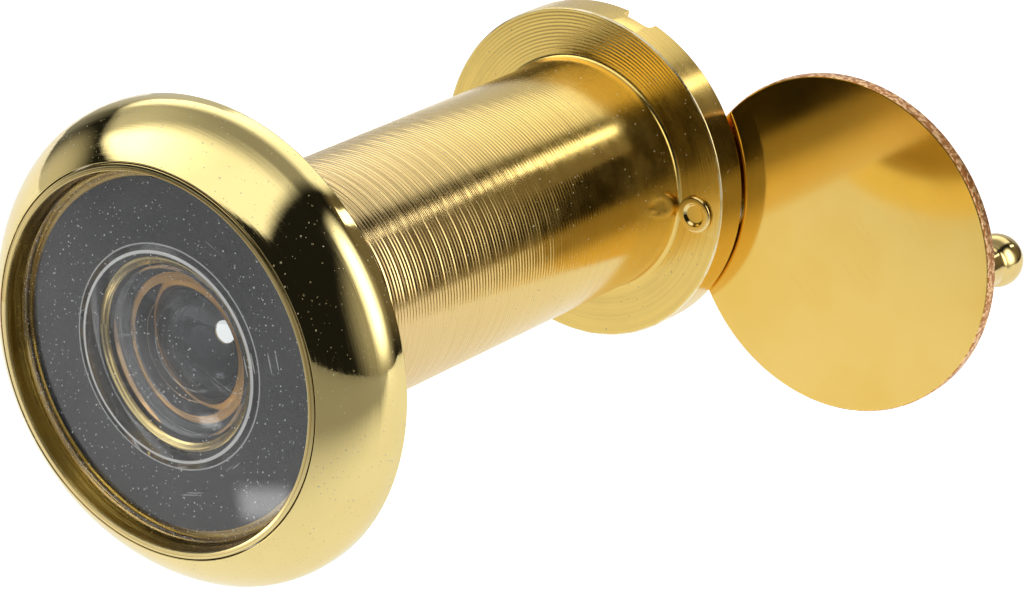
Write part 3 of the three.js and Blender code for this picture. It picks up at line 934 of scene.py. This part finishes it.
def make_rivet():
    """Rivet with a dimpled end on the flange and a crowned head on the cover's back."""
    front, back = FLANGE_FRONT - RIVET_END_HEIGHT, FLANGE_FRONT - CLEARANCE
    head = COVER_REAR + CLEARANCE
    floor = front + RIVET_DIMPLE_DEPTH
    corners = [
        (0.1, floor, 0),
        (RIVET_DIMPLE_RADIUS - RIVET_DIMPLE_DEPTH, floor, 0.12),
        (RIVET_DIMPLE_RADIUS, front, 0.08),
        (RIVET_END_RADIUS, front, 0.13),
        (RIVET_END_RADIUS, back, 0.04),
        (RIVET_RADIUS, back, 0.02),
        (RIVET_RADIUS, head, 0.02),
        (RIVET_HEAD_RADIUS, head, 0.06),
        (RIVET_HEAD_RADIUS, head + RIVET_HEAD_EDGE, 0),
    ]
    crown = dish(RIVET_HEAD_RADIUS, head + RIVET_HEAD_EDGE, -RIVET_HEAD_CROWN, RIVET_STEPS)
    outline = [(0, floor), *rounded(corners)[1:-1], *crown]
    return turned("rivet", outline, SMALL_ROUND, None, PIVOT_OFFSET)


def make_washer():
    front, rear = FLANGE_REAR + CLEARANCE, COVER_FRONT - CLEARANCE
    inner = RIVET_RADIUS + CLEARANCE
    corners = [
        (inner, front, 0.03),
        (WASHER_RADIUS, front, 0.08),
        (WASHER_RADIUS, rear, 0.08),
        (inner, rear, 0.03),
    ]
    return turned("washer", rounded(corners, 4), SMALL_ROUND, None, PIVOT_OFFSET)


# ---------- cover ----------
def make_cover():
    """Thin disc with its rivet hole and a blind hole for the knob."""
    inset = COVER_RADIUS - 0.13
    corners = [
        (inset, COVER_FRONT, 0),
        (COVER_RADIUS, COVER_FRONT, 0.1),
        (COVER_RADIUS, COVER_REAR, 0.1),
        (inset, COVER_REAR, 0),
    ]
    outline = [
        *line((0, COVER_FRONT), (inset, COVER_FRONT), 0.8),
        *rounded(corners)[1:-1],
        *line((inset, COVER_REAR), (0, COVER_REAR), 0.8),
    ]
    cover = turned("cover", outline, ROUND, None, COVER_OFFSET)
    rear = COVER_REAR + OVERRUN
    pivot_hole = drill(RIVET_RADIUS + RUNNING, COVER_FRONT - OVERRUN, rear, PIVOT_OFFSET)
    spigot_floor = COVER_REAR - KNOB_SPIGOT_DEPTH - CLEARANCE
    spigot_hole = drill(KNOB_SPIGOT_RADIUS + CLEARANCE, spigot_floor, rear, KNOB_X)
    spigot_hole.location.z = KNOB_Z * MM
    cut(cover, [pivot_hole, spigot_hole])
    return cover


def make_knob():
    """Ball-ended stud, standing on a spigot sunk in the cover's back."""
    foot = COVER_REAR + CLEARANCE
    spigot = COVER_REAR - KNOB_SPIGOT_DEPTH
    centre = COVER_REAR + KNOB_LENGTH - KNOB_RADIUS
    neck_angle = math.pi - math.asin(KNOB_NECK_RADIUS / KNOB_RADIUS)
    corners = [
        (0, spigot, 0),
        (KNOB_SPIGOT_RADIUS, spigot, 0.1),
        (KNOB_SPIGOT_RADIUS, foot, 0.03),
        (KNOB_NECK_RADIUS, foot, 0.08),
        (KNOB_NECK_RADIUS, centre, 0),
    ]
    ball = []
    for k in range(KNOB_STEPS):
        angle = neck_angle * (1 - k / KNOB_STEPS)
        ball.append((KNOB_RADIUS * math.sin(angle), centre + KNOB_RADIUS * math.cos(angle)))
    neck = line((KNOB_NECK_RADIUS, foot + 0.15), ball[0], 0.3)
    outline = [(0, spigot), *rounded(corners)[1:-1], *neck, *ball[1:], (0, centre + KNOB_RADIUS)]
    knob = turned("knob", outline, SMALL_ROUND, None, KNOB_X)
    knob.location.z = KNOB_Z * MM
    return knob


def place(piece, body, node, material):
    """Gives the piece its material and body, and has it stand for a CAD node."""
    piece.data.materials.clear()
    piece.data.materials.append(material)
    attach(piece, body)
    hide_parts(node)


head = head_brass()
lip = lip_brass()
sleeve_metal = sleeve_brass()
cover_metal = cover_brass()
rivet_metal = rivet_brass()
spacer_metal = spacer_brass()
steel = spring_steel()
paint = black_paint()
front_glass = worn_glass("front_glass")
inner_glass = clear_glass("inner_glass")

place(make_bezel(), "outer_half", "outer_bezel", head)
place(make_barrel(), "outer_half", "outer_barrel", lip)
place(make_objective(), "outer_half", "objective_lens", front_glass)
place(make_mask(), "outer_half", "light_mask", paint)
place(make_stack_ring(), "outer_half", "stack_spacer_ring", paint)
place(make_second_lens(), "outer_half", "second_lens", inner_glass)
place(make_spacer(), "outer_half", "lens_spacer", spacer_metal)
place(make_third_lens(), "outer_half", "third_lens", inner_glass)
place(make_baffle(), "outer_half", "baffle_tube", paint)
place(make_eyepiece(), "eyepiece_cell", "eyepiece_lens", inner_glass)
place(make_retaining_ring(), "eyepiece_cell", "eyepiece_retaining_ring", rivet_metal)
place(make_sleeve(), "inner_half", "inner_sleeve", sleeve_metal)
place(make_rivet(), "inner_half", "pivot_rivet", rivet_metal)
place(make_washer(), "inner_half", "pivot_washer", steel)
place(make_cover(), "cover", "cover_disc", cover_metal)
place(make_knob(), "cover", "cover_knob", rivet_metal)


# ---------- floor, light and camera ----------
# Places and sizes of the lights are in metres.
WHITE = (1.0, 1.0, 1.0)
FLOOR_DROP = 45.0  # floor below the common axis
FLOOR_RADIUS = 700.0
FLOOR_GREY = 0.8
FLOOR_GLOW = 0.36  # in reflections and on the object
FLOOR_WHITE = 0.75  # as seen directly
FLOOR_SLANT = 0.35  # the far shade runs askew across the floor by this slope
NEAR_SHADE = (-0.045, 0.0, 0.93, 1.0)  # from this y to this y, and the shade at both
FAR_SHADE = (-0.11, -0.03, 0.35, 1.0)
BACKDROP = 1.05  # as seen directly and through glass
ROOM = 0.012  # everywhere else in reflections
STUDIO_TURN = math.radians(-5.7)  # the studio is level with the camera, turned about Y
STUDIO = Matrix.Rotation(STUDIO_TURN, 4, "Y")


def make_floor():
    """Pale floor, dimmer in reflections, that gets darker in front of the object."""
    bm = bmesh.new()
    bmesh.ops.create_circle(bm, cap_ends=True, segments=SMALL_ROUND, radius=FLOOR_RADIUS * MM)
    floor = finished("floor", bm)
    floor.location = (0, 0, -FLOOR_DROP * MM)
    s = Shader("pale_floor", Metallic=0.0, Roughness=0.9)
    x, y, _ = s.split(s.place)
    near = s.ramp(y, *NEAR_SHADE)
    far = s.ramp(s.minus(y, s.times(x, FLOOR_SLANT)), *FAR_SHADE)
    shade = s.times(near, far)
    grey = s.times(shade, FLOOR_GREY)
    s.set("Base Color", s.join(grey, grey, grey))
    s.set("Emission Color", WHITE)
    direct = s.add("ShaderNodeLightPath").outputs["Is Camera Ray"]
    seen = s.times(direct, FLOOR_WHITE)
    s.set("Emission Strength", s.larger(s.times(shade, FLOOR_GLOW), seen))
    floor.data.materials.append(s.material)


def glow(name, profile):
    """Light that adds to what is behind it: profile builds its strength from panel places."""
    s = Shader(name)
    emission = s.add("ShaderNodeEmission")
    x, y, _ = s.split(s.place)
    s.feed(emission.inputs["Strength"], profile(s, x, y))
    both = s.add("ShaderNodeAddShader")
    s.link(emission.outputs[0], both.inputs[0])
    s.link(s.add("ShaderNodeBsdfTransparent").outputs[0], both.inputs[1])
    s.link(both.outputs[0], s.out.inputs["Surface"])
    return s.material


def make_panel(name, centre, size, towards, profile):
    """Rectangular light panel that the camera doesn't see directly."""
    bm = bmesh.new()
    bmesh.ops.create_grid(bm, x_segments=1, y_segments=1, size=0.5)
    bm.transform(Matrix.Diagonal((*size, 1, 1)))
    panel = finished(name, bm)
    aim = (Vector(towards) - Vector(centre)).to_track_quat("-Z", "Y").to_matrix().to_4x4()
    panel.matrix_world = STUDIO @ Matrix.Translation(centre) @ aim
    panel.data.materials.append(glow(name, profile))
    panel.visible_camera = False


def soft_edges(s, x, y, size, feather):
    """1 inside the panel and falling to 0 at its edges."""
    across = s.ramp(s.math("ABSOLUTE", x), size[0] / 2 - feather, size[0] / 2, 1, 0)
    along = s.ramp(s.math("ABSOLUTE", y), size[1] / 2 - feather, size[1] / 2, 1, 0)
    return s.times(across, along)


OVERHEAD = (1.6, 1.8)
OVERHEAD_CENTRE = (-0.53, -0.03, 0.6)
OVERHEAD_FEATHER = 0.12
OVERHEAD_LEVELS = (2.6, 1.3)  # at the hot spot and away from it
HOT_SPOT = (-0.84, -0.17)
HOT_SPOT_REACH = (0.1, 0.75)
LEFT_FADE = (-0.85, -0.45)
LAMP_GAP = (-0.2, 0.02, 0.25, 0.5)
GAP_DIMMING = 0.75


def overhead(s, x, y):
    """Bright over the head, soft to the left, with a dim gap between front and rear lamps."""
    hot_x, hot_y = HOT_SPOT[0] - OVERHEAD_CENTRE[0], HOT_SPOT[1] - OVERHEAD_CENTRE[1]
    across = s.math("POWER", s.minus(x, hot_x), 2.0)
    along = s.math("POWER", s.minus(y, hot_y), 2.0)
    level = s.ramp(s.math("SQRT", s.plus(across, along)), *HOT_SPOT_REACH, *OVERHEAD_LEVELS)
    left = s.ramp(x, *LEFT_FADE)
    gap = s.band(y, *LAMP_GAP)
    level = s.times(level, s.minus(1.0, s.times(gap, GAP_DIMMING)))
    return s.times(s.times(level, left), soft_edges(s, x, y, OVERHEAD, OVERHEAD_FEATHER))


def flat(size, level, feather):
    """Profile of one level inside soft edges."""
    return lambda s, x, y: s.times(soft_edges(s, x, y, size, feather), level)


EDGE_STRIP = (0.16, 0.6)
EDGE_STRIP_CENTRE = (0.42, 0.85, 0.6)
EDGE_STRIP_FEATHER = 0.04
SIDE_STRIP = (0.56, 0.8)
SIDE_STRIP_CENTRE = (0.55, 0.10, 0.25)
SIDE_STRIP_FEATHER = 0.27
STRIP_LEVEL = 3.2
CARD = (0.0062, 0.0042)
CARD_LEVEL = 5.0
CARD_FEATHER = 0.0018
CARD_AIM = Vector((0.0052, -0.004, -0.0068))  # point of the glass that the card lights
CARD_DISTANCE = 0.018
CARD_DIRECTION = Vector((-0.422, -0.728, -0.537))


def make_lights():
    """Overhead panel, two side panels, and a small card whose reflection marks the glass."""
    x, y, _ = OVERHEAD_CENTRE
    make_panel("overhead", OVERHEAD_CENTRE, OVERHEAD, (x, y, 0), overhead)
    x, y, _ = EDGE_STRIP_CENTRE
    edge = flat(EDGE_STRIP, STRIP_LEVEL, EDGE_STRIP_FEATHER)
    make_panel("edge_strip", EDGE_STRIP_CENTRE, EDGE_STRIP, (x, y, 0), edge)
    side = flat(SIDE_STRIP, STRIP_LEVEL, SIDE_STRIP_FEATHER)
    make_panel("side_strip", SIDE_STRIP_CENTRE, SIDE_STRIP, (0, 0, 0), side)
    card_centre = CARD_AIM + CARD_DISTANCE * CARD_DIRECTION
    make_panel("card", card_centre, CARD, CARD_AIM, flat(CARD, CARD_LEVEL, CARD_FEATHER))


LOBES = (  # azimuth from +Y towards +X, elevation, inner and outer half angle, radiance, colour
    (-32, 14, 8, 45, 0.62, (0.96, 0.97, 1.0)),
    (34, 22, 5, 32, 0.16, (1.0, 0.82, 0.55)),
    (82, 10, 12, 40, 0.42, (1.0, 0.95, 0.85)),
    (-95, -2, 6, 27, 0.6, (1.0, 0.97, 0.9)),
)


def background(tree, colour, strength):
    """Background shader node of one colour."""
    node = tree.nodes.new("ShaderNodeBackground")
    node.inputs["Color"].default_value = (*colour, 1)
    node.inputs["Strength"].default_value = strength
    return node


def make_lobe(tree, azimuth, elevation, inner, outer, radiance, colour):
    """Soft round glow in one direction of the surroundings."""
    a, e = math.radians(azimuth), math.radians(elevation)
    axis = Vector((math.sin(a) * math.cos(e), math.cos(a) * math.cos(e), math.sin(e)))
    dot = tree.nodes.new("ShaderNodeVectorMath")
    dot.operation = "DOT_PRODUCT"
    dot.inputs[1].default_value = STUDIO.to_3x3() @ axis
    direction = tree.nodes.new("ShaderNodeTexCoord").outputs["Generated"]
    tree.links.new(direction, dot.inputs[0])
    ramp = tree.nodes.new("ShaderNodeMapRange")
    ramp.interpolation_type = "SMOOTHSTEP"
    ramp.inputs["From Min"].default_value = math.cos(math.radians(outer))
    ramp.inputs["From Max"].default_value = math.cos(math.radians(inner))
    ramp.inputs["To Max"].default_value = radiance
    tree.links.new(dot.outputs["Value"], ramp.inputs["Value"])
    lobe = background(tree, colour, radiance)
    tree.links.new(ramp.outputs[0], lobe.inputs["Strength"])
    return lobe.outputs[0]


def seen_directly(tree):
    """1 for rays from the camera and rays that come through glass."""
    path = tree.nodes.new("ShaderNodeLightPath")
    either = tree.nodes.new("ShaderNodeMath")
    either.operation = "MAXIMUM"
    tree.links.new(path.outputs["Is Camera Ray"], either.inputs[0])
    tree.links.new(path.outputs["Is Transmission Ray"], either.inputs[1])
    return either.outputs[0]


def make_world():
    """Dark room with soft lobes of light in reflections, and a white backdrop elsewhere."""
    world = bpy.data.worlds.new("studio")
    bpy.context.scene.world = world
    world.use_nodes = True
    tree = world.node_tree
    tree.nodes.clear()
    total = background(tree, WHITE, ROOM).outputs[0]
    for lobe in LOBES:
        both = tree.nodes.new("ShaderNodeAddShader")
        tree.links.new(total, both.inputs[0])
        tree.links.new(make_lobe(tree, *lobe), both.inputs[1])
        total = both.outputs[0]
    choose = tree.nodes.new("ShaderNodeMixShader")
    tree.links.new(seen_directly(tree), choose.inputs[0])
    tree.links.new(total, choose.inputs[1])
    tree.links.new(background(tree, WHITE, BACKDROP).outputs[0], choose.inputs[2])
    tree.links.new(choose.outputs[0], tree.nodes.new("ShaderNodeOutputWorld").inputs[0])


VIEW_AZIMUTH = math.radians(34.85)
VIEW_ELEVATION = math.radians(24.06)
VIEW_ROLL = math.radians(5.0)
VIEW_DISTANCE = 222.77
VIEW_RIGHT, VIEW_UP = 16.112, 2.334  # the optical axis passes this far from the origin
FOCAL_LENGTH = 148.07
SENSOR_WIDTH = 36.0
CLIP_START, CLIP_END = 0.01, 10  # metres


def make_camera():
    """Camera fitted to the outlines in the photograph."""
    a, e = VIEW_AZIMUTH, VIEW_ELEVATION
    back = Vector((math.sin(a) * math.cos(e), -math.cos(a) * math.cos(e), math.sin(e)))
    level = Vector((math.cos(a), math.sin(a), 0))
    right = Matrix.Rotation(VIEW_ROLL, 3, back) @ level
    up = back.cross(right)
    data = bpy.data.cameras.new("camera")
    data.lens, data.sensor_width = FOCAL_LENGTH, SENSOR_WIDTH
    data.clip_start, data.clip_end = CLIP_START, CLIP_END
    camera = bpy.data.objects.new("camera", data)
    centre = (right * VIEW_RIGHT + up * VIEW_UP + back * VIEW_DISTANCE) * MM
    axes = Matrix((right, up, back)).transposed().to_4x4()
    camera.matrix_world = Matrix.Translation(centre) @ axes
    bpy.context.scene.collection.objects.link(camera)
    bpy.context.scene.camera = camera


make_floor()
make_lights()
make_world()
make_camera()

scene = bpy.context.scene
scene.view_settings.view_transform = "Standard"
scene.cycles.use_denoising = True
scene.cycles.max_bounces = 20
scene.cycles.transmission_bounces = 16
scene.cycles.glossy_bounces = 8
